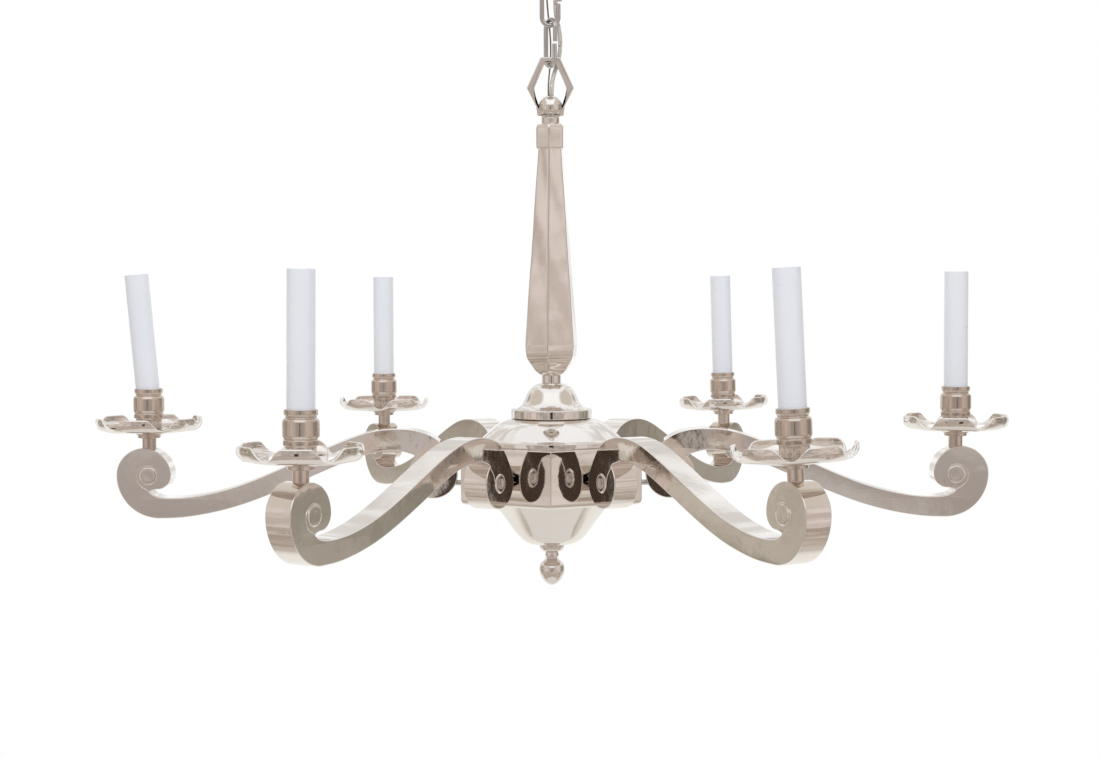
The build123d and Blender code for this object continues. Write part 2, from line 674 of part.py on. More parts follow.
# ---------------------------------------------------------------- cord and ground wire
# Each runs from the ball nut up through the links into the eye's hollow stud. It is cut into three stretches,
# one for each place where the chain bends, at the middle of the runs that start at the numbered corners.
# (x, y, height above the cup rims)
cord_route = [(1.0, 0, 267.5), (1.2, 0.4, 277), (2.6, 3.2, 286), (5.6, 7.0, 295), (8.6, 7.6, 306),
              (9.4, 6.2, 321), (7.4, 6.8, 333), (5.0, 7.2, 344), (4.7, 6.6, 360), (5.6, 7.2, 369.5),
              (4.6, 4.2, 380), (1.4, 0.9, 389.5), (1.0, 0.6, 399)]
ground_route = [(-1.85, 0, 267.5), (-1.9, 0.6, 277), (-1.2, 3.4, 286.5), (-0.2, 6.6, 296), (0.5, 6.2, 307),
                (0.2, 5.6, 322), (-0.9, 7.2, 333), (-2.0, 7.0, 344), (-3.2, 5.2, 360), (-3.9, 5.2, 369.5),
                (-3.5, 3.2, 380), (-2.6, 1.4, 389.5), (-2.4, 1.1, 399)]
cut_runs = (4, 7)


def stretches(route):
    """The route's three stretches: each cut is in the middle of a run."""
    corners = [Vector(x, y, up(height)) for x, y, height in route]
    first, second = cut_runs
    low_cut = (corners[first] + corners[first + 1]) * 0.5
    top_cut = (corners[second] + corners[second + 1]) * 0.5
    return [corners[:first + 1] + [low_cut], [low_cut] + corners[first + 1:second + 1] + [top_cut],
            [top_cut] + corners[second + 1:]]


def cable(name, corners, diameter):
    """A round cable along straight runs joined by arcs as large as the runs allow."""
    radii = []
    for before, corner, after in zip(corners, corners[1:], corners[2:]):
        turn = math.radians((corner - before).get_angle(after - corner))
        shorter = min((corner - before).length, (after - corner).length)
        radii.append(0.45 * shorter / math.tan(turn / 2))
    print(name, "radii", [round(radius, 1) for radius in radii])
    with BuildPart() as tube:
        with BuildLine() as path:
            FilletPolyline(*corners, radius=radii)
        with BuildSketch(Plane(origin=corners[0], z_dir=path.line % 0)):
            Circle(diameter / 2)
        sweep(path=path.line)
    print(name, "length", round(path.wire().length, 1), "volume share",
          round(tube.part.volume / (math.pi * diameter**2 / 4 * path.wire().length), 4))
    keep(tube, name)


for place, corners in zip(("low", "mid", "top"), stretches(cord_route)):
    cable(f"cord_{place}", corners, cord_diameter)
for place, corners in zip(("low", "mid", "top"), stretches(ground_route)):
    cable(f"ground_wire_{place}", corners, ground_diameter)
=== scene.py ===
"""Looks of the six-arm scroll chandelier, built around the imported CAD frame.

Shapes are worked out in millimetres and turned into metres when a mesh is made. Heights called *_Z are
measured from the plane of the candle cups' rims, and up() turns them into heights in the frame, whose
origin is on the ceiling.
"""
import json
import math

import bmesh
import bpy
import numpy as np
from mathutils import Matrix, Vector
from mathutils.geometry import tessellate_polygon


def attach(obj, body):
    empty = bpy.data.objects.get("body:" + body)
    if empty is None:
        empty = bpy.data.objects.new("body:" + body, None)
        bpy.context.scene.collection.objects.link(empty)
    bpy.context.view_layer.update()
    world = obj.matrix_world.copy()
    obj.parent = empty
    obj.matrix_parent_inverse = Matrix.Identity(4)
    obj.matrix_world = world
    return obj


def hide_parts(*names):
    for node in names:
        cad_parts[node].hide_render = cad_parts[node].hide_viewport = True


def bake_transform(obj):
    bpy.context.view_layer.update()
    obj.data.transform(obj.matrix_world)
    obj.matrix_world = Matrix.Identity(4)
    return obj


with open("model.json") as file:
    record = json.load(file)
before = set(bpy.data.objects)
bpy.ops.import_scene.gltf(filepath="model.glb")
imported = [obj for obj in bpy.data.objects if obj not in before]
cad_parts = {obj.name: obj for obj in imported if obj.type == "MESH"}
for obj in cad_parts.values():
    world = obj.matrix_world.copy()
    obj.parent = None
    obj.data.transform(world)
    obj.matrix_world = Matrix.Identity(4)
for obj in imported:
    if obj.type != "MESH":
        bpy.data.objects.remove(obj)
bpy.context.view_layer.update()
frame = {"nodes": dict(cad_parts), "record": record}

MM = 0.001
RIM_DROP = 430.0
ARM_REACH = 373.0
ARM_AZIMUTHS = [0, 60, 120, 180, 240, 300]
HOLDER_LEANS = [0.0, -1.5, 0.0, 0.0, 0.6, -2.7]
SLEEVE_LEANS = [0.0, 0.0, 0.0, -5.0, 0.0, 0.0]
PAN_TURNS = [16.5, 20.5, 0.0, 26.5, 33.6, 50.0]
PIPE_RADIUS = 4.85
STEM_SEAT_Z = -58.0
LEAN_POINT_Z = -9.0


def up(height):
    """Height in the frame, in millimetres, of a height measured from the cup rims."""
    return height - RIM_DROP


def point(x, y, height):
    """A point in metres from millimetres and a height above the cup rims."""
    return Vector((x, y, up(height))) * MM


# ---------------------------------------------------------------- camera
SENSOR_WIDTH = 36.0
CAMERA_LENS = 61.2
CLIP_NEAR, CLIP_FAR = 0.05, 60.0
CAMERA_DISTANCE = 1726.3
CAMERA_HEIGHT = 85.3
CAMERA_YAW = 0.52
CAMERA_PITCH = 2.57
CAMERA_ROLL = -0.20
CAMERA_SIDE = -1.27


def make_camera():
    """The photograph's viewpoint: in front, a little above the cup rims, looking slightly down."""
    data = bpy.data.cameras.new("camera")
    data.sensor_width = SENSOR_WIDTH
    data.lens = CAMERA_LENS
    data.clip_start, data.clip_end = CLIP_NEAR, CLIP_FAR
    camera = bpy.data.objects.new("camera", data)
    bpy.context.scene.collection.objects.link(camera)
    turn = Matrix.Rotation(math.radians(CAMERA_YAW), 4, "Z")
    place = Matrix.Translation(point(CAMERA_SIDE, -CAMERA_DISTANCE, CAMERA_HEIGHT))
    aim = Matrix.Rotation(math.radians(90 - CAMERA_PITCH), 4, "X")
    roll = Matrix.Rotation(math.radians(CAMERA_ROLL), 4, "Z")
    camera.matrix_world = turn @ place @ aim @ roll
    bpy.context.scene.camera = camera


make_camera()


# ---------------------------------------------------------------- material nodes
MIX_FACTOR, MIX_A, MIX_B, MIX_RESULT = 0, 6, 7, 2    # a colour Mix node's sockets


def node_tree(name):
    """A new material with its node tree and its Principled shader."""
    material = bpy.data.materials.new(name)
    material.use_nodes = True
    shader = material.node_tree.nodes["Principled BSDF"]
    return material, material.node_tree, shader


def noise(tree, scale, detail=3.0, roughness=0.5, stretch=None):
    """A noise texture over object coordinates, stretched by a mapping if asked. Returns its Fac output."""
    coordinates = tree.nodes.new("ShaderNodeTexCoord")
    texture = tree.nodes.new("ShaderNodeTexNoise")
    texture.inputs["Scale"].default_value = scale
    texture.inputs["Detail"].default_value = detail
    texture.inputs["Roughness"].default_value = roughness
    source = coordinates.outputs["Object"]
    if stretch:
        mapping = tree.nodes.new("ShaderNodeMapping")
        mapping.inputs["Scale"].default_value = stretch
        tree.links.new(source, mapping.inputs["Vector"])
        source = mapping.outputs["Vector"]
    tree.links.new(source, texture.inputs["Vector"])
    return texture.outputs["Fac"]


def spread(tree, value, low, high, start=0.3, end=0.7):
    """Maps a noise value between start and end onto low to high."""
    node = tree.nodes.new("ShaderNodeMapRange")
    node.inputs["From Min"].default_value = start
    node.inputs["From Max"].default_value = end
    node.inputs["To Min"].default_value = low
    node.inputs["To Max"].default_value = high
    tree.links.new(value, node.inputs["Value"])
    return node.outputs["Result"]


def two_tone(tree, value, first, second):
    """A colour that goes from the first to the second as the value goes from 0 to 1."""
    node = tree.nodes.new("ShaderNodeMix")
    node.data_type = "RGBA"
    node.inputs[MIX_A].default_value = (*first, 1)
    node.inputs[MIX_B].default_value = (*second, 1)
    tree.links.new(value, node.inputs[MIX_FACTOR])
    return node.outputs[MIX_RESULT]


def bumps(tree, shader, layers):
    """Chained bump nodes: (height value, depth in metres)."""
    normal = None
    for value, depth in layers:
        node = tree.nodes.new("ShaderNodeBump")
        node.inputs["Distance"].default_value = depth
        node.inputs["Strength"].default_value = 1.0
        tree.links.new(value, node.inputs["Height"])
        if normal:
            tree.links.new(normal, node.inputs["Normal"])
        normal = node.outputs["Normal"]
    tree.links.new(normal, shader.inputs["Normal"])


def plated_metal(name, light, dark, gloss, wave, grain):
    """Nickel or steel plate: tone that drifts, smears in the polish, a wavy ground and fine hairlines."""
    material, tree, shader = node_tree(name)
    shader.inputs["Metallic"].default_value = 1.0
    tone = spread(tree, noise(tree, scale=18, detail=4), 0, 1)
    tree.links.new(two_tone(tree, tone, light, dark), shader.inputs["Base Color"])
    smear = spread(tree, noise(tree, scale=55, detail=6, roughness=0.65), *gloss)
    tree.links.new(smear, shader.inputs["Roughness"])
    layers = [(noise(tree, scale=28, detail=1.5), wave * 4), (noise(tree, scale=110, detail=2), wave)]
    if grain:
        stretch, depth = grain
        layers.append((noise(tree, scale=1.0, detail=2, roughness=0.7, stretch=stretch), depth))
    bumps(tree, shader, layers)
    return material


def plastic(name, light, dark, roughness, coat=0.0):
    """Moulded plastic: tone and gloss that drift a little, over a faintly uneven skin."""
    material, tree, shader = node_tree(name)
    tone = spread(tree, noise(tree, scale=14, detail=4), 0, 1)
    tree.links.new(two_tone(tree, tone, light, dark), shader.inputs["Base Color"])
    rough = spread(tree, noise(tree, scale=90, detail=4), roughness - 0.05, roughness + 0.06)
    tree.links.new(rough, shader.inputs["Roughness"])
    shader.inputs["Coat Weight"].default_value = coat
    shader.inputs["Coat Roughness"].default_value = 0.12
    skin = [(noise(tree, scale=160, detail=2), 0.00003), (noise(tree, scale=1200, detail=2), 0.000008)]
    bumps(tree, shader, skin)
    return material


# Each metal: light and dark tone, least and greatest roughness, then the depth of its waves in metres and its
# grain, as the stretch of the noise along X, Y and Z and the depth.
METALS = {
    "polished_nickel": ((0.82, 0.78, 0.74), (0.765, 0.715, 0.67), (0.03, 0.085), 0.00006,
                        ((25, 25, 900), 0.000002)),
    "satin_nickel": ((0.68, 0.60, 0.54), (0.58, 0.495, 0.43), (0.13, 0.22), 0.00006,
                     ((12, 12, 2600), 0.00002)),
    "chain_nickel": ((0.66, 0.66, 0.66), (0.50, 0.49, 0.48), (0.08, 0.2), 0.0001, None),
    "zinc_steel": ((0.66, 0.66, 0.63), (0.50, 0.50, 0.47), (0.28, 0.42), 0.00003, None),
    "shell_metal": ((0.78, 0.70, 0.48), (0.66, 0.56, 0.34), (0.2, 0.32), 0.00003, None),
    "contact_brass": ((0.80, 0.64, 0.32), (0.62, 0.46, 0.20), (0.2, 0.34), 0.00003, None),
    "ground_wire": ((0.36, 0.30, 0.25), (0.20, 0.16, 0.13), (0.3, 0.45), 0.00003, None),
}
MATERIALS = {name: plated_metal(name, *looks) for name, looks in METALS.items()}
MATERIALS["sleeve_plastic"] = plastic("sleeve_plastic", (0.81, 0.86, 0.935), (0.775, 0.83, 0.91), 0.32, 0.15)
MATERIALS["socket_body"] = plastic("socket_body", (0.055, 0.05, 0.045), (0.03, 0.026, 0.024), 0.45)


# ---------------------------------------------------------------- outlines, in millimetres
def arc(centre, radius, start, end, steps):
    """Points of an arc from start to end degrees, both ends included."""
    angles = np.radians(np.linspace(start, end, steps + 1))
    return [(centre[0] + radius * math.cos(a), centre[1] + radius * math.sin(a)) for a in angles]


def curve_through(points, steps):
    """A natural cubic spline through the points, with its parameter along the chords."""
    knots = np.array(points, float)
    gaps = np.linalg.norm(np.diff(knots, axis=0), axis=1)
    n = len(knots)
    system = np.zeros((n, n))
    right = np.zeros_like(knots)
    system[0, 0] = system[-1, -1] = 1
    for i in range(1, n - 1):
        system[i, i - 1 : i + 2] = gaps[i - 1], 2 * (gaps[i - 1] + gaps[i]), gaps[i]
        right[i] = 6 * ((knots[i + 1] - knots[i]) / gaps[i] - (knots[i] - knots[i - 1]) / gaps[i - 1])
    bend = np.linalg.solve(system, right)
    made = []
    for i, gap in enumerate(gaps):
        for t in np.linspace(0, gap, steps, endpoint=False):
            rest = gap - t
            made.append(
                (bend[i] * rest**3 + bend[i + 1] * t**3) / (6 * gap)
                + (knots[i] / gap - bend[i] * gap / 6) * rest
                + (knots[i + 1] / gap - bend[i + 1] * gap / 6) * t
            )
    made.append(knots[-1])
    return [tuple(p) for p in made]


def rounded(points, radius, closed=True, steps=4):
    """The outline with each corner rounded, as far as the sides beside it leave room."""
    made = []
    count = len(points)
    for i, corner in enumerate(points):
        if not closed and i in (0, count - 1):
            made.append(tuple(corner))
            continue
        here = Vector(corner)
        before = Vector(points[i - 1]) - here
        after = Vector(points[(i + 1) % count]) - here
        reach = min(radius, 0.45 * before.length, 0.45 * after.length)
        first = here + before.normalized() * reach
        last = here + after.normalized() * reach
        for t in np.linspace(0, 1, steps + 1):
            made.append(tuple(first * (1 - t) ** 2 + here * 2 * t * (1 - t) + last * t**2))
    return made


def hexagon(corner_radius, turn, edge_radius, steps, along):
    """A hexagon with rounded corners, each side cut into equal lengths. Always the same number of points."""
    made = []
    reach = edge_radius * math.tan(math.radians(30))
    for side in range(6):
        a, b = (math.radians(turn + 60 * (side + k)) for k in (0, 1))
        here = Vector((math.cos(a), math.sin(a))) * corner_radius
        there = Vector((math.cos(b), math.sin(b))) * corner_radius
        inward = here * (1 - edge_radius / (corner_radius * math.cos(math.radians(30))))
        for t in np.linspace(-30, 30, steps + 1):
            angle = a + math.radians(t)
            made.append(tuple(inward + Vector((math.cos(angle), math.sin(angle))) * edge_radius))
        run = (there - here).normalized()
        start, end = here + run * reach, there - run * reach
        made += [tuple(start.lerp(end, k / along)) for k in range(1, along)]
    return made


# ---------------------------------------------------------------- meshes
class Shape:
    """Vertices in millimetres and faces, gathered from several closed shells."""

    def __init__(self):
        self.points = []
        self.faces = []

    def add(self, points, faces, placed=None):
        base = len(self.points)
        for p in points:
            place = Vector(p)
            self.points.append(placed @ place if placed else place)
        self.faces += [[base + i for i in face] for face in faces]


def grid_faces(rows, columns, close_rows=False, close_columns=True):
    """Quads between rows of points, each row a ring when its columns close."""
    faces = []
    for r in range(rows if close_rows else rows - 1):
        for c in range(columns if close_columns else columns - 1):
            nr, nc = (r + 1) % rows, (c + 1) % columns
            faces.append([r * columns + c, r * columns + nc, nr * columns + nc, nr * columns + c])
    return faces


def rings(shape, sections, placed=None):
    """A closed shell over rings of points with flat ends."""
    columns = len(sections[0])
    faces = grid_faces(len(sections), columns)
    last = (len(sections) - 1) * columns
    faces += [list(range(columns))[::-1], [last + c for c in range(columns)]]
    shape.add([p for section in sections for p in section], faces, placed)


ON_AXIS = 1e-6


def lathe(shape, profile, placed=None, segments=96, flutes=None):
    """Turns a profile of (radius, height) about Z. One that starts and ends on the axis is left open."""
    closed = profile[0][0] > ON_AXIS
    points = []
    for radius, height in profile:
        for k in range(segments):
            angle = 2 * math.pi * k / segments
            across = radius + (flutes(angle, radius) if flutes else 0)
            points.append((across * math.cos(angle), across * math.sin(angle), height))
    shape.add(points, grid_faces(len(profile), segments, close_rows=closed), placed)


def headings(centre):
    """The direction of the line at each of its points."""
    return [(centre[min(i + 1, len(centre) - 1)] - centre[max(i - 1, 0)]).normalized()
            for i in range(len(centre))]


def round_section(middle, side, other, radius, segments):
    """A ring of points about the middle, in the plane of two directions."""
    turn = [2 * math.pi * k / segments for k in range(segments)]
    return [middle + (side * math.cos(a) + other * math.sin(a)) * radius for a in turn]


def tube(shape, path, radius, segments, placed=None):
    """A round bar along the path with softly rounded ends."""
    centre = [Vector(p) for p in path]
    ahead = headings(centre)
    side = ahead[0].orthogonal().normalized()
    # Sections as (distance ahead, share of the radius): one at most points, two narrower ones at the ends.
    inset = 0.25 * radius
    ends = {0: [(0, 0.72), (0.3 * inset, 0.93)], len(centre) - 1: [(-0.3 * inset, 0.93), (0, 0.72)]}
    sections = []
    for i, (middle, forward) in enumerate(zip(centre, ahead)):
        side = (side - forward * side.dot(forward)).normalized()
        other = forward.cross(side)
        for along, share in ends.get(i, [(0, 1.0)]):
            sections.append(round_section(middle + forward * along, side, other, radius * share, segments))
    rings(shape, sections, placed)


def offset_outline(points, distance):
    """The closed outline moved inwards, with the shift at sharp corners kept short."""
    count = len(points)
    moved = []
    for i in range(count):
        here, before, after = (Vector(points[k % count]) for k in (i, i - 1, i + 1))
        first = (here - before).normalized()
        second = (after - here).normalized()
        inward = Vector((-first.y - second.y, first.x + second.x)).normalized()
        share = max(0.5, inward.dot(Vector((-first.y, first.x))))
        moved.append(here + inward * distance / share)
    return moved


def prism(shape, outline, depth, bevel, placed, holes=()):
    """A slab of the depth about Y with rounded edges. Outlines run anticlockwise and holes clockwise."""
    points, faces, front, back = [], [], [], []
    steps = [(bevel * (1 - math.sin(a)), bevel * (1 - math.cos(a))) for a in np.radians([0, 30, 60, 90])]
    for loop in (outline, *holes):
        base = len(points)
        count = len(loop)
        levels = [(inset, -depth / 2 + drop) for inset, drop in steps]
        levels += [(inset, depth / 2 - drop) for inset, drop in reversed(steps)]
        for inset, height in levels:
            points += [(p.x, p.y, height) for p in offset_outline(loop, inset)]
        faces += [[base + i for i in face] for face in grid_faces(len(levels), count)]
        front.append([base + (len(levels) - 1) * count + i for i in range(count)])
        back.append([base + i for i in range(count)])
    for flat in (front, back):
        order = [i for loop in flat for i in loop]
        for triangle in tessellate_polygon([[Vector(points[i]) for i in loop] for loop in flat]):
            faces.append([order[i] for i in triangle])
    shape.add(points, faces, placed)


MERGE_DISTANCE = 1e-7
TINY_EDGE = 1e-8
NORMAL_WEIGHT = 80


def finish_piece(shape, name, body, slot, nodes, sharp=40):
    """Makes the object: metres, clean normals, smooth faces with sharp edges kept, riding on its body."""
    mesh = bpy.data.meshes.new(name)
    mesh.from_pydata([p * MM for p in shape.points], [], shape.faces)
    work = bmesh.new()
    work.from_mesh(mesh)
    bmesh.ops.remove_doubles(work, verts=work.verts, dist=MERGE_DISTANCE)
    bmesh.ops.dissolve_degenerate(work, edges=work.edges, dist=TINY_EDGE)
    bmesh.ops.recalc_face_normals(work, faces=work.faces)
    for face in work.faces:
        face.smooth = True
    for edge in work.edges:
        if len(edge.link_faces) == 2 and edge.calc_face_angle(0) > math.radians(sharp):
            edge.smooth = False
    work.to_mesh(mesh)
    work.free()
    mesh.materials.append(MATERIALS[slot])
    piece = bpy.data.objects.new(name, mesh)
    bpy.context.scene.collection.objects.link(piece)
    weighted = piece.modifiers.new("weighted_normals", "WEIGHTED_NORMAL")
    weighted.keep_sharp = True
    weighted.weight = NORMAL_WEIGHT
    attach(piece, body)
    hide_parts(*nodes)


def axes(origin, z_dir, x_dir):
    """A placing matrix, in millimetres, from an origin and two directions."""
    z = Vector(z_dir).normalized()
    x = (Vector(x_dir) - z * Vector(x_dir).dot(z)).normalized()
    made = Matrix((x, z.cross(x), z)).transposed().to_4x4()
    made.translation = Vector(origin)
    return made


def leaning(foot, height, lean):
    """A placing at the cup rims, square to an axis that leans in the XZ plane about a foot at that height."""
    tilt = math.radians(lean)
    axis = Vector((math.sin(tilt), 0, math.cos(tilt)))
    return axes(Vector(foot) - axis * height, axis, (axis.z, 0, -axis.x))


def outward(azimuth):
    """The level direction away from the centre line at an azimuth in degrees."""
    angle = math.radians(azimuth)
    return Vector((math.cos(angle), math.sin(angle), 0))


HOLDERS = []
SLEEVES = []
for azimuth, lean, extra in zip(ARM_AZIMUTHS, HOLDER_LEANS, SLEEVE_LEANS):
    holder = leaning(outward(azimuth) * ARM_REACH + Vector((0, 0, up(STEM_SEAT_Z))), STEM_SEAT_Z, lean)
    HOLDERS.append(holder)
    SLEEVES.append(leaning(holder @ Vector((0, 0, LEAN_POINT_Z)), LEAN_POINT_Z, lean + extra))


# ---------------------------------------------------------------- cord and ground wire
CORD_DIAMETER = 4.0
GROUND_DIAMETER = 1.5
CORD_ROUTE = [(1.0, 0, 267.5), (1.2, 0.4, 277), (2.6, 3.2, 286), (5.6, 7.0, 295), (8.6, 7.6, 306),
              (9.4, 6.2, 321), (7.4, 6.8, 333), (5.0, 7.2, 344), (4.7, 6.6, 360), (5.6, 7.2, 369.5),
              (4.6, 4.2, 380), (1.4, 0.9, 389.5), (1.0, 0.6, 399)]
GROUND_ROUTE = [(-1.85, 0, 267.5), (-1.9, 0.6, 277), (-1.2, 3.4, 286.5), (-0.2, 6.6, 296), (0.5, 6.2, 307),
                (0.2, 5.6, 322), (-0.9, 7.2, 333), (-2.0, 7.0, 344), (-3.2, 5.2, 360), (-3.9, 5.2, 369.5),
                (-3.5, 3.2, 380), (-2.6, 1.4, 389.5), (-2.4, 1.1, 399)]
CUT_RUNS = (4, 7)
CORD_SIDES = 24


def stretches(route):
    """The route's three stretches, cut at the middles of two runs."""
    corners = [point(*p) for p in route]
    first, second = CUT_RUNS
    low_cut = (corners[first] + corners[first + 1]) / 2
    top_cut = (corners[second] + corners[second + 1]) / 2
    return {
        "low": corners[: first + 1] + [low_cut],
        "mid": [low_cut] + corners[first + 1 : second + 1] + [top_cut],
        "top": [top_cut] + corners[second + 1 :],
    }


def smooth_line(corners):
    """Points read from a NURBS spline whose control points are the corners."""
    data = bpy.data.curves.new("route", "CURVE")
    data.dimensions = "3D"
    data.resolution_u = 8
    spline = data.splines.new("NURBS")
    spline.points.add(len(corners) - 1)
    for control, corner in zip(spline.points, corners):
        control.co = (*corner, 1)
    spline.order_u = 3
    spline.use_endpoint_u = True
    route = bpy.data.objects.new("route", data)
    line = bpy.data.meshes.new_from_object(route)
    found = [v.co.copy() for v in line.vertices]
    bpy.data.objects.remove(route)
    return found


def flexible(name, route, diameter, material_slot):
    """The three stretches of one cable, each made as a piece of its own."""
    for place, corners in stretches(route).items():
        line = smooth_line(corners)
        shape = Shape()
        cable_section(shape, [p / MM for p in line], diameter)
        piece = finish_cable(shape, f"{name}_{place}_run", material_slot, f"{name}_{place}")
        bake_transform(piece)


def cable_section(shape, line, diameter):
    """A round tube with flat ends, so that one stretch runs into the next."""
    side = Vector((1, 0, 0))
    sections = []
    for middle, forward in zip(line, headings(line)):
        side = (side - forward * side.dot(forward)).normalized()
        sections.append(round_section(middle, side, forward.cross(side), diameter / 2, CORD_SIDES))
    rings(shape, sections)


def finish_cable(shape, name, slot, node):
    """As finish_piece, but free of a parent."""
    mesh = bpy.data.meshes.new(name)
    mesh.from_pydata([p * MM for p in shape.points], [], shape.faces)
    for face in mesh.polygons:
        face.use_smooth = len(face.vertices) == 4
    mesh.materials.append(MATERIALS[slot])
    piece = bpy.data.objects.new(name, mesh)
    bpy.context.scene.collection.objects.link(piece)
    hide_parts(node)
    return piece


def strand_material():
    """Clear insulation over tinned strands: a twisted silver core seen through a glossy coat."""
    material, tree, shader = node_tree("clear_cord")
    shader.inputs["Metallic"].default_value = 0.35
    shader.inputs["Coat Weight"].default_value = 0.8
    shader.inputs["Coat Roughness"].default_value = 0.08
    twist = noise(tree, scale=1.0, detail=2, roughness=0.6, stretch=(1500, 1500, 260))
    strands = spread(tree, twist, 0, 1, 0.38, 0.62)
    colour = two_tone(tree, strands, (0.86, 0.85, 0.82), (0.52, 0.49, 0.45))
    tree.links.new(colour, shader.inputs["Base Color"])
    tree.links.new(spread(tree, strands, 0.22, 0.4, 0, 1), shader.inputs["Roughness"])
    bumps(tree, shader, [(strands, 0.00012)])
    return material


MATERIALS["clear_cord"] = strand_material()
flexible("cord", CORD_ROUTE, CORD_DIAMETER, "clear_cord")
flexible("ground_wire", GROUND_ROUTE, GROUND_DIAMETER, "ground_wire")

# ---------------------------------------------------------------- arms
ARM_WIDTH = 24.0
INNER_VOLUTE = (109.0, up(-79.0))
INNER_VOLUTE_RADIUS = 22.5
OUTER_VOLUTE_Z = up(-79.6)
UNDERSIDE_ARC = ((361.4, OUTER_VOLUTE_Z), 39.8)
CROWN_ARC = ((376.1, OUTER_VOLUTE_Z), 25.1)
TUCK_ARC = ((363.8, OUTER_VOLUTE_Z), 12.8)
CREVICE = (371.4, up(-94.5))
ARM_BEVEL = 0.9
OUTER_CORE = (372.0, up(-80.0))
CORE_RADIUS = 8.6
TAIL_RADIUS = 8.9
TAIL_GROWTH = 3.6
OUTER_SEAM = 0.55
INNER_SEAM = 0.4


def lifted(points):
    """Outline points given with heights above the cup rims."""
    return [(x, up(z)) for x, z in points]


def arm_outline():
    """The scroll arm seen from its side: distance from the centre line and height, anticlockwise."""
    hook = arc(INNER_VOLUTE, INNER_VOLUTE_RADIUS, 150, 405, 64)
    over = lifted([(371.4, -94.5), (367.5, -97.6), (361, -99.8), (350, -100.6), (323, -98), (290, -89.6),
                   (252, -74.6), (194, -49), (168, -40), (146.6, -37), (125, -38.6), (106, -46.5),
                   (95.8, -58.2)]) + [hook[0]]
    under = lifted([(127, -61.2), (141, -57.4), (172, -61.5), (212, -77), (252, -94.2), (290, -108.2),
                    (325, -116.4), (347, -119), (361.4, -119.4)])
    outline = curve_through(over, 7)[:-1]
    outline += hook
    outline += curve_through(under, 7)[:-1]
    outline += arc(*UNDERSIDE_ARC, -90, 0, 26)[:-1]
    outline += arc(*CROWN_ARC, 0, 180, 48)[:-1]
    outline += arc(*TUCK_ARC, 180, 270, 14)[:-1]
    (tuck_x, tuck_z), tuck_radius = TUCK_ARC
    outline += curve_through([(tuck_x, tuck_z - tuck_radius), (368, up(-93)), CREVICE], 3)[:-1]
    return outline


def seam(shape, path, radius, placed):
    """A fine raised bead on a volute's face."""
    tube(shape, path, radius, 8, placed)


def button(shape, centre, level, profile, placed):
    """A low turned disc on one face of an arm, from a profile of (radius, height above the face)."""
    spin = Matrix.Translation((*centre, 0))
    lathe(shape, [(r, math.copysign(abs(level) + h, level)) for r, h in profile], placed @ spin, 72)


def volute_seams(shape, placed):
    """The rolled cores that show on both faces of the volutes, with the seams that run out of them."""
    core = [(0, 0.75), (4.0, 0.78), (6.4, 0.85), (7.4, 0.7), (8.2, 0.35), (CORE_RADIUS, -0.3), (0, -0.3)]
    eye = [(0, 0.06), (2.6, 0.1), (3.9, 0.55), (4.9, 0.85), (6.4, 0.85), (7.6, 0.6), (CORE_RADIUS, 0.0),
           (CORE_RADIUS, -0.3), (0, -0.3)]
    x, z = OUTER_CORE
    outer_tail = [CREVICE]
    for angle, share in zip(np.radians(np.linspace(-75, 150, 40)), np.linspace(1, 0, 40)):
        radius = TAIL_RADIUS + TAIL_GROWTH * share**2
        outer_tail.append((x + radius * math.cos(angle), z + radius * math.sin(angle)))
    x, z = INNER_VOLUTE
    inner_tail = curve_through([(x + CORE_RADIUS - 0.6, z + 1), (x + 10.4, z + 8), (x + 16, z + 14.8)], 5)
    for level in (ARM_WIDTH / 2, -ARM_WIDTH / 2):
        button(shape, OUTER_CORE, level, core, placed)
        button(shape, INNER_VOLUTE, level, eye, placed)
        seam(shape, [(a, b, level) for a, b in outer_tail], OUTER_SEAM, placed)
        seam(shape, [(a, b, level) for a, b in inner_tail], INNER_SEAM, placed)


ARM_OUTLINE = arm_outline()
for number, azimuth in enumerate(ARM_AZIMUTHS, start=1):
    along = outward(azimuth)
    placed = axes((0, 0, 0), along.cross(Vector((0, 0, 1))), along)
    shape = Shape()
    prism(shape, ARM_OUTLINE, ARM_WIDTH, ARM_BEVEL, placed)
    volute_seams(shape, placed)
    finish_piece(shape, f"scroll_arm_{number}", "fixture", "polished_nickel", [f"arm_{number}"], sharp=50)

# ---------------------------------------------------------------- candle holders
PAN_RADIUS = 49.0
PAN_FLOOR_Z = -39.6
PAN_LIP_Z = -26.4
PAN_SHEET = 2.6
NOTCH_HALF_WIDTH = 13.8
NOTCH_DEPTH = 9.6
NOTCH_SPREAD = 1.22
LIP_ROUND = 0.9
RIM_CUTS = 13
FLAT_RADIUS = 20


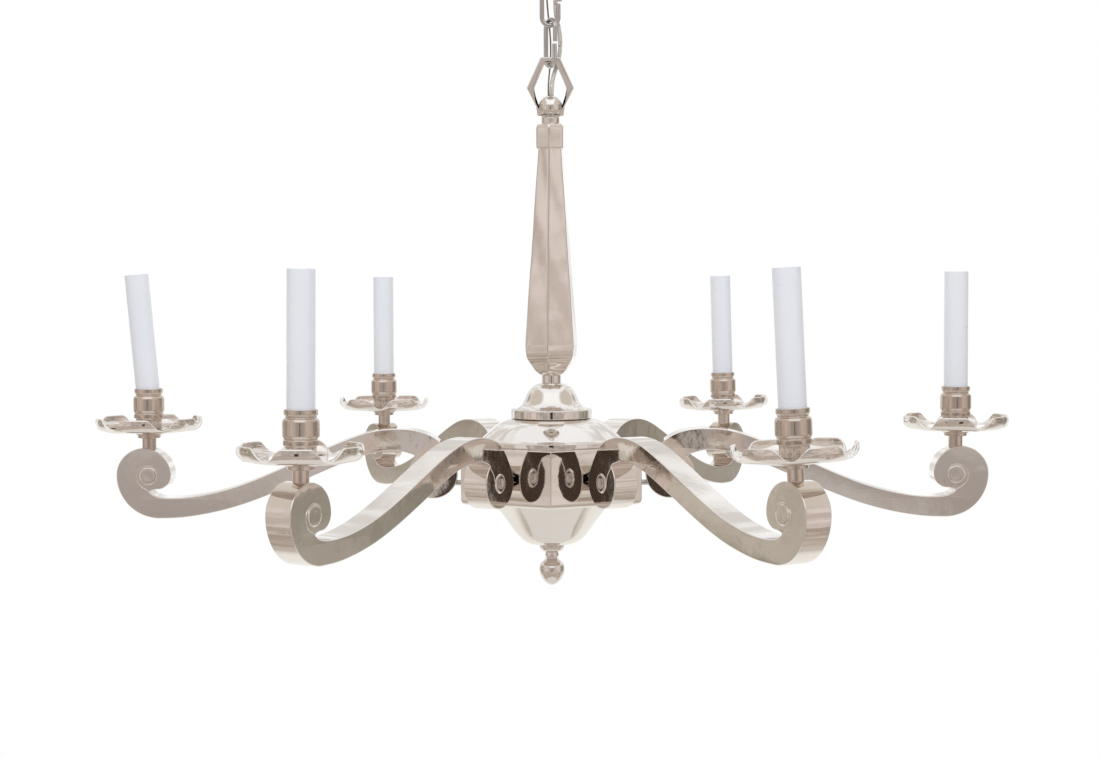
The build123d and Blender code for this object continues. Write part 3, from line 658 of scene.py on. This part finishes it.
def pan(shape, placed):
    """A round dish whose turned-up rim is left standing as six lips with hollows between them."""
    wall = curve_through([(36, PAN_FLOOR_Z), (42.7, -38.6), (47.0, -35.2), (48.5, -31.2),
                          (48.1, PAN_LIP_Z)], 8)
    lining = curve_through([(35, PAN_FLOOR_Z + PAN_SHEET), (41, -36.1), (44.8, -33.8), (46.4, -31),
                            (45.8, PAN_LIP_Z)], 8)
    stations = []
    for lobe in range(6):
        start = 60 * lobe - 30
        share = NOTCH_SPREAD * math.degrees(NOTCH_HALF_WIDTH / PAN_RADIUS)
        fall = [(share * t, 1 - t**3 * (10 - 15 * t + 6 * t * t)) for t in np.linspace(0, 1, 17)]
        lip = np.linspace(start + share, start + 60 - share, 7)[1:-1]
        stations += [(start + turn, dip) for turn, dip in fall] + [(angle, 0.0) for angle in lip]
        stations += [(start + 60 - turn, dip) for turn, dip in fall[:0:-1]]
    columns = []
    for angle, dip in stations:
        top = PAN_LIP_Z - NOTCH_DEPTH * dip
        columns.append((math.radians(angle), rim_section(wall, lining, top)))
    rows = len(columns[0][1])
    points = [(r * math.cos(a), r * math.sin(a), z) for a, section in columns for r, z in section]
    faces = grid_faces(len(columns), rows, close_rows=True, close_columns=False)
    shape.add(points, faces, placed)


def cut_at(line, top):
    """The line up to a height, cut into the same number of points whatever the height."""
    r, z = (np.array(values) for values in zip(*line))
    heights = np.linspace(0, 1, RIM_CUTS) ** 0.8 * (top - z[0]) + z[0]
    return [(float(np.interp(h, z, r)), float(h)) for h in heights]


def rim_section(wall, lining, top):
    """Across the dish: axis hole, floor, wall, rounded rim, lining and back along the floor's top."""
    rise = cut_at(wall, top - LIP_ROUND)
    fall = cut_at(lining, top - LIP_ROUND)[::-1]
    (outer, low), (inner, _) = rise[-1], fall[0]
    middle, half = (outer + inner) / 2, (outer - inner) / 2
    crown = [(middle + half * math.cos(a), low + LIP_ROUND * math.sin(a))
             for a in np.radians([30, 60, 90, 120, 150])]
    floor = [(PIPE_RADIUS, PAN_FLOOR_Z), (FLAT_RADIUS, PAN_FLOOR_Z)]
    top_floor = [(FLAT_RADIUS, PAN_FLOOR_Z + PAN_SHEET), (PIPE_RADIUS, PAN_FLOOR_Z + PAN_SHEET)]
    return floor + rise + crown + fall + top_floor + [floor[0]]


CUP_PROFILE = [(PIPE_RADIUS, -37.0), (11.8, -37.0), (11.8, -27.5), (13.5, -27.0), (13.5, -23.0),
               (12.6, -22.4), (13.2, -21.6), (14.1, -20.0), (14.1, -9.0), (13.4, -7.2), (11.7, -6.2),
               (12.1, -4.6), (13.0, -3.4), (13.0, 0), (12.2, 0), (11.3, -4.1), (9.6, -4.1), (9.6, -18),
               (PIPE_RADIUS, -18)]
STEM_PROFILE = [(PIPE_RADIUS, -58.0), (6.4, -58.0), (6.4, -45.5), (10.4, -45.5), (10.4, -42.6), (12.0, -42.6),
                (12.0, -39.6), (PIPE_RADIUS, -39.6)]
SLEEVE_RADIUS = 10.85
SLEEVE_WALL = 0.9
SLEEVE_TOP_Z = 105.9
SLEEVE_FOOT_Z = -4.1
SLEEVE_GAP = 0.05
SLEEVE_EDGE = 0.35

stems = Shape()
for number, (holder, azimuth, turn) in enumerate(zip(HOLDERS, ARM_AZIMUTHS, PAN_TURNS), start=1):
    dish = Shape()
    pan(dish, holder @ Matrix.Rotation(math.radians(azimuth + turn), 4, "Z"))
    finish_piece(dish, f"drip_pan_{number}", "fixture", "polished_nickel", [f"pan_{number}"])
    cup = Shape()
    lathe(cup, rounded(CUP_PROFILE, 0.55), holder)
    finish_piece(cup, f"candle_cup_{number}", "fixture", "satin_nickel", [f"cup_{number}"])
    lathe(stems, rounded(STEM_PROFILE, 0.5), holder, 64)
finish_piece(stems, "holder_stems", "fixture", "satin_nickel", ["candle_stems"])

for number, (placed, extra) in enumerate(zip(SLEEVES, SLEEVE_LEANS), start=1):
    foot = SLEEVE_FOOT_Z + SLEEVE_GAP + SLEEVE_RADIUS * math.sin(math.radians(abs(extra)))
    inside = SLEEVE_RADIUS - SLEEVE_WALL
    heights = [foot + (SLEEVE_TOP_Z - foot) * k / 12 for k in range(13)]
    profile = [(SLEEVE_RADIUS, z) for z in heights] + [(inside, z) for z in heights[::-1]]
    sleeve = Shape()
    lathe(sleeve, rounded(profile, SLEEVE_EDGE, steps=3), placed, 72)
    body = f"candle_sleeve_{number}"
    finish_piece(sleeve, f"sleeve_{number}", body, "sleeve_plastic", [f"candle_sleeve_{number}"])

# ---------------------------------------------------------------- hub
DRUM_FLAT = 81.5
DRUM_CORNER = DRUM_FLAT / math.cos(math.radians(30))
DRUM_TOP_Z = -52.0
DRUM_BOTTOM_Z = -103.5
DRUM_FILLET = 5.0


def hexagon_stack(shape, levels, turn, edge_radius):
    """A closed shell over rounded hexagons, each given as (height, corner radius)."""
    sections = []
    for height, corner in levels:
        outline = hexagon(corner, turn, edge_radius, 3, 8)
        sections.append([(x, y, up(height)) for x, y in outline])
    rings(shape, sections)


def drum():
    """The six-sided hub with a rounded bottom edge and a crisp top one."""
    shape = Shape()
    fillet = [(DRUM_BOTTOM_Z + DRUM_FILLET * (1 - math.sin(a)), DRUM_FILLET * (1 - math.cos(a)))
              for a in np.radians(np.linspace(90, 0, 9))]
    levels = [(z, DRUM_CORNER - inset / math.cos(math.radians(30))) for z, inset in fillet]
    levels += [(z, DRUM_CORNER) for z in np.linspace(DRUM_BOTTOM_Z + DRUM_FILLET, DRUM_TOP_Z - 0.7, 7)[1:]]
    levels += [(DRUM_TOP_Z - 0.2, DRUM_CORNER - 0.3), (DRUM_TOP_Z, DRUM_CORNER - 0.9)]
    hexagon_stack(shape, levels, 30, 1.2)
    finish_piece(shape, "hub_body", "fixture", "polished_nickel", ["hub_drum"], sharp=50)


drum()


def turned(name, node, profile, radius=0.6, segments=128):
    """A turned part on the fixture's centre line, from a profile with heights above the cup rims."""
    shape = Shape()
    closed = profile[0][0] > ON_AXIS
    lathe(shape, [(r, up(z)) for r, z in rounded(profile, radius, closed)], None, segments)
    finish_piece(shape, name, "fixture", "polished_nickel", [node])


BORE = 5.15
DOME_CURVE = curve_through([(35, -28.0), (43.5, -30.4), (52, -35.3), (59.5, -41.6), (64.2, -46.0)], 7)
turned("dome", "dome_cover", [(BORE, -28.0)] + DOME_CURVE
       + [(66.5, -47.2), (70.5, -47.5), (70.5, -52.0), (62, -52.0), (50, -39.5), (34, -30), (BORE, -30)])
turned("stepped_ring", "step_ring", [(BORE, -28.0), (37.4, -28.0), (37.4, -19.8), (BORE, -19.8)], 1.1)
BELL_CURVE = curve_through([(34, -19.8), (27.5, -15.5), (24.2, -9.6), (20.4, -2.2), (14.9, 2.4),
                            (8.9, 4.3)], 8)
turned("bell_cover", "bell", [(BORE, -19.8)] + BELL_CURVE + [(BORE, 4.3)], 0.3)
turned("neck_ring", "column_neck", [(BORE, 4.3), (8.9, 4.3), (8.9, 11.6), (BORE, 11.6)])
BOWL_CURVE = curve_through([(57, -103.5), (46.3, -116.5), (40, -125), (33.8, -133.5), (26.6, -141),
                            (17.2, -144.9), (11.5, -145.8)], 8)
turned("bottom_bowl", "bowl", BOWL_CURVE + [(PIPE_RADIUS, -145.8), (PIPE_RADIUS, -144), (12, -144),
       (25.2, -139.2), (37.4, -124.3), (44, -115), (52, -103.5)], 0.3)
SAUCER = curve_through([(12, -146.3), (10.2, -150.5), (6.0, -152.6)], 6)
ACORN = curve_through([(7.0, -160), (11.3, -164.5), (11.7, -170.5), (8.2, -178.5), (2.2, -183.1),
                       (0, -183.6)], 8)
turned("finial_acorn", "finial", [(0, -145.8), (11.6, -145.8)] + SAUCER
       + [(6.4, -154), (6.4, -156), (5.6, -158)] + ACORN, 0.35, 96)

# ---------------------------------------------------------------- column, cap and top of the fixture
COLUMN_TURN = -7.4 + 30
COLUMN_FLARE = [(11.6, 10.5), (16.0, 16.5), (20.0, 19.4), (24.0, 22.6), (29.0, 24.9), (34.0, 25.8),
                (40.0, 26.2)]
COLUMN_TOP = (219.0, 12.5)
COLUMN_EDGE = 1.8
COLUMN_INSET = 0.18


def column():
    """A tapering six-sided column on a flared foot, its faces a little wavy from hand polishing."""
    flare = curve_through(COLUMN_FLARE, 4)
    shoulder = flare[-1]
    rise, growth = COLUMN_TOP[0] - shoulder[0], COLUMN_TOP[1] - shoulder[1]
    shaft = [(shoulder[0] + rise * t, shoulder[1] + growth * t)
             for t in np.linspace(0, 1, 37)[1:]]
    sections = []
    for height, corner in flare + shaft:
        ring = []
        for x, y in hexagon(corner, COLUMN_TURN, min(COLUMN_EDGE, corner / 6), 4, 10):
            angle = math.atan2(y, x)
            wave = 0.13 * math.sin(height * 0.075 + 3 * angle) + 0.05 * math.sin(height * 0.23 - 2 * angle)
            grow = 1 - (COLUMN_INSET + wave) / corner
            ring.append((x * grow, y * grow, up(height)))
        sections.append(ring)
    shape = Shape()
    rings(shape, sections)
    finish_piece(shape, "tapered_column", "fixture", "polished_nickel", ["column"], sharp=30)


def cap():
    """The six-sided cap on the column, with softened edges."""
    shape = Shape()
    levels = [(219.0, 12.9), (219.5, 13.7), (220.6, 14.2), (223, 14.4), (231, 14.4), (237.5, 14.4),
              (239.8, 14.0), (241.2, 13.1), (242.0, 11.8)]
    hexagon_stack(shape, levels, COLUMN_TURN, 2.0)
    finish_piece(shape, "top_cap", "fixture", "polished_nickel", ["column_cap"], sharp=25)


column()
cap()
turned("top_collar", "column_collar",
       [(PIPE_RADIUS, 242.0), (8.5, 242.0), (8.5, 248.0), (PIPE_RADIUS, 248.0)], 0.9, 64)

BALL_RADIUS = 11.0
BALL_Z = 257.6
BALL_SEAT_Z = 251.0
WIRE_HOLE = 3.2
BALL_START = -math.degrees(math.asin((BALL_Z - BALL_SEAT_Z) / BALL_RADIUS))
BALL_END = math.degrees(math.acos(WIRE_HOLE / BALL_RADIUS))
turned("ball", "ball_nut", arc((0, BALL_Z), BALL_RADIUS, BALL_START, BALL_END, 30)
       + [(WIRE_HOLE, BALL_Z), (PIPE_RADIUS, BALL_Z), (PIPE_RADIUS, BALL_SEAT_Z)], 0.25, 72)

LOOP_DEPTH = 6.0
LOOP_BAR = 5.9
LOOP_FOOT = (8.0, 248.0)
LOOP_WAIST = (21.7, 275.0)
LOOP_TOP = (8.75, 303.2)


def loop():
    """The flat six-sided hanging loop, standing in the XZ plane."""
    half = [LOOP_FOOT, LOOP_WAIST, LOOP_TOP]
    outline = lifted(half + [(-x, z) for x, z in half[::-1]])
    waist = (LOOP_WAIST[0] - 1.2 * LOOP_BAR, LOOP_WAIST[1])
    inner = [(11.2, 251.0), (11.2, 253.0), waist, (LOOP_TOP[0] - 0.62 * LOOP_BAR, LOOP_TOP[1] - LOOP_BAR)]
    hole = lifted(inner + [(-x, z) for x, z in inner[::-1]])[::-1]
    shape = Shape()
    placed = axes((0, 0, 0), (0, -1, 0), (1, 0, 0))
    prism(shape, rounded(outline, 1.2), LOOP_DEPTH, 1.1, placed, [rounded(hole, 1.4)])
    finish_piece(shape, "six_sided_loop", "fixture", "polished_nickel", ["hanging_loop"], sharp=35)


loop()

# ---------------------------------------------------------------- chain
LINK_LENGTH = 46.0
LINK_WIRE = 4.3
LINK_ARC = (19.3 - LINK_WIRE) / 2
LINK_STRAIGHT = LINK_LENGTH / 2 - LINK_WIRE / 2 - LINK_ARC
LINK_SPREAD = 1.2
LINK_GAP = 1.8
LINKS = {"link_1": (-58.0, 315.7), "link_2": (0.0, 352.8)}


def link(name, azimuth, height):
    """A bent-wire link, cut in the middle of one leg with the ends a little out of line."""
    path = [(LINK_ARC, z) for z in np.linspace(-LINK_GAP / 2, -LINK_STRAIGHT, 8)]
    path += arc((0, -LINK_STRAIGHT), LINK_ARC, 0, -180, 28)[1:]
    path += [(-LINK_ARC, z) for z in np.linspace(-LINK_STRAIGHT, LINK_STRAIGHT, 14)[1:]]
    path += arc((LINK_SPREAD / 2, LINK_STRAIGHT), LINK_ARC + LINK_SPREAD / 2, 180, 0, 28)[1:]
    path += [(LINK_ARC + LINK_SPREAD, z) for z in np.linspace(LINK_STRAIGHT, LINK_GAP / 2, 8)[1:]]
    across = outward(azimuth)
    shape = Shape()
    tube(shape, [across * x + Vector((0, 0, up(height) + z)) for x, z in path], LINK_WIRE / 2, 28)
    finish_piece(shape, f"chain_{name}", name, "chain_nickel", [name])


for name, (azimuth, height) in LINKS.items():
    link(name, azimuth, height)

# ---------------------------------------------------------------- ceiling fitting and canopy
EYE_WIRE = 5.0
EYE_HALF_WIDTH = 8.0
EYE_INNER_Z = 371.2
EYE_TOP_Z = EYE_INNER_Z + 18.0
EYE_BASE_Z = EYE_TOP_Z + 4.5
STUD_RADIUS = 13.6
STUD_TOP_Z = 410.2
STUD_BORE = 5.5
CANOPY_FLOOR_Z = 401.2
CANOPY_RADIUS = 65.0
CANOPY_SHEET = 1.2
THREAD_PITCH = 1.5
THREAD_DEPTH = 0.45
COLLAR_RADIUS = 20.5
COLLAR_HEIGHT = 6.9
COLLAR_FOOT = 7.0
KNURL_RIBS = 72
KNURL_DEPTH = 0.18
KNURL_FROM = 19.5


def ceiling_eye():
    """The wire eye under its threaded stud."""
    shape = Shape()
    radius = EYE_HALF_WIDTH + EYE_WIRE / 2
    centre = EYE_INNER_Z + EYE_HALF_WIDTH
    path = [(-radius, z) for z in np.linspace(EYE_TOP_Z + 1, centre, 8)[:-1]]
    path += arc((0, centre), radius, 180, 360, 40)
    path += [(radius, z) for z in np.linspace(centre, EYE_TOP_Z + 1, 8)[1:]]
    tube(shape, [(0, y, up(z)) for y, z in path], EYE_WIRE / 2, 28)
    thread = []
    for k in range(int((STUD_TOP_Z - EYE_BASE_Z) / THREAD_PITCH)):
        base = EYE_BASE_Z + k * THREAD_PITCH
        thread += [(STUD_RADIUS - THREAD_DEPTH, base + 0.1), (STUD_RADIUS, base + THREAD_PITCH / 2)]
    profile = [(STUD_BORE, EYE_TOP_Z), (STUD_RADIUS - 0.9, EYE_TOP_Z), (STUD_RADIUS - 0.2, EYE_TOP_Z + 0.7),
               (STUD_RADIUS - 0.2, EYE_BASE_Z)]
    profile += thread + [(STUD_RADIUS - 0.8, STUD_TOP_Z), (STUD_BORE, STUD_TOP_Z)]
    lathe(shape, [(r, up(z)) for r, z in profile], None, 72)
    finish_piece(shape, "eye_and_stud", "ceiling_fitting", "polished_nickel", ["ceiling_eye"])


def canopy():
    """The dished ceiling plate, open on top."""
    floor = up(CANOPY_FLOOR_Z)
    lip = CANOPY_RADIUS - 1.6
    shell = curve_through([(21, floor), (37.5, floor + 3.2), (52, floor + 9.5), (59.5, floor + 16.6),
                           (lip, -3.0)], 9)
    lining = curve_through([(lip - CANOPY_SHEET, -3.0), (58.4, floor + 17.4), (51.2, floor + 10.6),
                            (37.1, floor + 4.4), (21, floor + CANOPY_SHEET)], 9)
    bore = STUD_RADIUS + 0.6
    profile = [(bore, floor)] + shell + [(CANOPY_RADIUS, -2), (CANOPY_RADIUS, 0), (lip, 0)] + lining
    profile += [(bore, floor + CANOPY_SHEET)]
    shape = Shape()
    lathe(shape, rounded(profile, 0.5), None, 144)
    finish_piece(shape, "canopy_shell", "canopy", "polished_nickel", ["canopy"])


def knurl(angle, radius):
    """Fine upright ribs on the outside of the screw collar."""
    return -KNURL_DEPTH * (1 - math.cos(KNURL_RIBS * angle)) if radius > KNURL_FROM else 0


def collar():
    """The knurled screw collar that holds the canopy up."""
    low = up(CANOPY_FLOOR_Z) - COLLAR_FOOT
    top = low + COLLAR_HEIGHT
    bore = STUD_RADIUS + 0.2
    profile = rounded([(bore, low), (COLLAR_RADIUS, low), (COLLAR_RADIUS, top), (bore, top)], 1.2)
    shape = Shape()
    lathe(shape, profile, None, 6 * KNURL_RIBS, knurl)
    finish_piece(shape, "screw_collar", "canopy_collar", "polished_nickel", ["canopy_collar"])


ceiling_eye()
canopy()
collar()

# ---------------------------------------------------------------- CAD parts that show as they are
for row in frame["record"]["subparts"]:
    node = frame["nodes"][row["node"]]
    if not node.hide_render:
        node.data.materials.clear()
        node.data.materials.append(MATERIALS[row["material_slot"]])


# ---------------------------------------------------------------- floor and light
FLOOR_DROP = 3.6
FLOOR_REACH = 3.5
# The studio's colours by direction, in pairs where they're uneven.
LEFT_WALL = ((0.36, 0.32, 0.27), (0.62, 0.575, 0.50))
RIGHT_WALL = ((0.27, 0.24, 0.205), (0.46, 0.43, 0.375))
FRONT_SIDES = ((0.63, 0.55, 0.51), (0.85, 0.77, 0.735))
FRONT_CENTRE = ((0.44, 0.395, 0.37), (0.60, 0.555, 0.535))
BACK_WALL = ((0.80, 0.79, 0.77), (1.12, 1.14, 1.15))
LOW_FRONT = ((0.46, 0.39, 0.34), (0.68, 0.61, 0.55))
LOW_BACK = (0.98, 0.97, 0.93)
STRAIGHT_DOWN = (0.82, 0.80, 0.77)
POST = (0.065, 0.046, 0.034)
CEILING_CENTRE = (1.2, 1.23, 1.25)
CEILING_SIDES = (0.74, 0.68, 0.62)
ZENITH = (1.10, 1.13, 1.18)


def make_floor():
    """A pale floor well below the fixture. The metal mirrors the studio's colours instead of it."""
    mesh = bpy.data.meshes.new("floor")
    corners = [(x * FLOOR_REACH, y * FLOOR_REACH, -FLOOR_DROP)
               for x, y in ((-1, -1), (1, -1), (1, 1), (-1, 1))]
    mesh.from_pydata(corners, [], [[0, 1, 2, 3]])
    floor = bpy.data.objects.new("floor", mesh)
    bpy.context.scene.collection.objects.link(floor)
    material, _, shader = node_tree("floor")
    shader.inputs["Base Color"].default_value = (0.92, 0.915, 0.90, 1)
    shader.inputs["Roughness"].default_value = 0.9
    mesh.materials.append(material)
    floor.visible_glossy = False


def area_light(name, place, target, size, power):
    """A white square softbox in metres and watts, aimed at a point and left out of reflections."""
    data = bpy.data.lights.new(name, "AREA")
    data.size = size
    data.energy = power
    light = bpy.data.objects.new(name, data)
    bpy.context.scene.collection.objects.link(light)
    light.location = place
    light.visible_glossy = False
    light.rotation_euler = (Vector(target) - Vector(place)).to_track_quat("-Z", "Y").to_euler()


def make_world():
    """A white studio: bright above and behind, warm grey walls at the sides and a dark post by the camera.

    Each ramp's limits are parts of the unit direction along X, Y or Z. The camera itself sees plain white.
    """
    world = bpy.data.worlds.new("studio")
    bpy.context.scene.world = world
    world.use_nodes = True
    tree = world.node_tree
    links = tree.links
    background = tree.nodes["Background"]
    coordinates = tree.nodes.new("ShaderNodeTexCoord")
    split = tree.nodes.new("ShaderNodeSeparateXYZ")
    links.new(coordinates.outputs["Generated"], split.inputs[0])
    x, y, z = (split.outputs[name] for name in "XYZ")

    def ramp(value, start, end):
        node = tree.nodes.new("ShaderNodeMapRange")
        node.interpolation_type = "SMOOTHSTEP"
        node.inputs["From Min"].default_value = start
        node.inputs["From Max"].default_value = end
        links.new(value, node.inputs["Value"])
        return node.outputs["Result"]

    def calculated(operation, *values):
        node = tree.nodes.new("ShaderNodeMath")
        node.operation = operation
        for value, socket in zip(values, node.inputs):
            links.new(value, socket)
        return node.outputs[0]

    def mixed(factor, first, second):
        node = tree.nodes.new("ShaderNodeMix")
        node.data_type = "RGBA"
        links.new(factor, node.inputs[MIX_FACTOR])
        for number, value in ((MIX_A, first), (MIX_B, second)):
            if isinstance(value, tuple):
                node.inputs[number].default_value = (*value, 1)
            else:
                links.new(value, node.inputs[number])
        return node.outputs[MIX_RESULT]

    patches = tree.nodes.new("ShaderNodeTexNoise")
    patches.inputs["Scale"].default_value = 7.0
    patches.inputs["Detail"].default_value = 3.0
    links.new(coordinates.outputs["Generated"], patches.inputs["Vector"])
    uneven = ramp(patches.outputs["Fac"], 0.38, 0.64)
    across = calculated("ABSOLUTE", x)
    side = mixed(ramp(x, 0.2, -0.2), mixed(uneven, *RIGHT_WALL), mixed(uneven, *LEFT_WALL))
    front = mixed(ramp(across, 0.6, 0.35), mixed(uneven, *FRONT_SIDES), mixed(uneven, *FRONT_CENTRE))
    back = mixed(uneven, *BACK_WALL)
    room = mixed(ramp(y, 0.56, 0.74), mixed(ramp(y, 0.05, -0.30), side, front), back)
    post = calculated("MULTIPLY", ramp(across, 0.075, 0.05), ramp(y, 0.0, -0.1))
    room = mixed(calculated("MULTIPLY", post, ramp(z, 0.03, 0.0)), room, POST)
    low = mixed(ramp(y, 0.15, 0.5), mixed(uneven, *LOW_FRONT), LOW_BACK)
    room = mixed(ramp(z, -0.22, -0.5), room, low)
    room = mixed(ramp(z, -0.82, -0.86), room, STRAIGHT_DOWN)
    front_ceiling = mixed(ramp(across, 0.42, 0.62), CEILING_CENTRE, CEILING_SIDES)
    room = mixed(ramp(z, 0.24, 0.46), room, mixed(ramp(y, 0.1, 0.6), front_ceiling, back))
    room = mixed(ramp(z, 0.76, 0.9), room, ZENITH)
    path = tree.nodes.new("ShaderNodeLightPath")
    seen = mixed(path.outputs["Is Camera Ray"], room, (1.0, 1.0, 1.0))
    links.new(seen, background.inputs["Color"])
    background.inputs["Strength"].default_value = 1.0


make_floor()
make_world()
area_light("front_fill", place=(0, -2.6, 0.7), target=(0, 0, -0.4), size=1.5, power=16)
area_light("top_fill", place=(0, 0, 2.4), target=(0, 0, -1), size=1.2, power=46)
bpy.context.scene.view_settings.view_transform = "Standard"
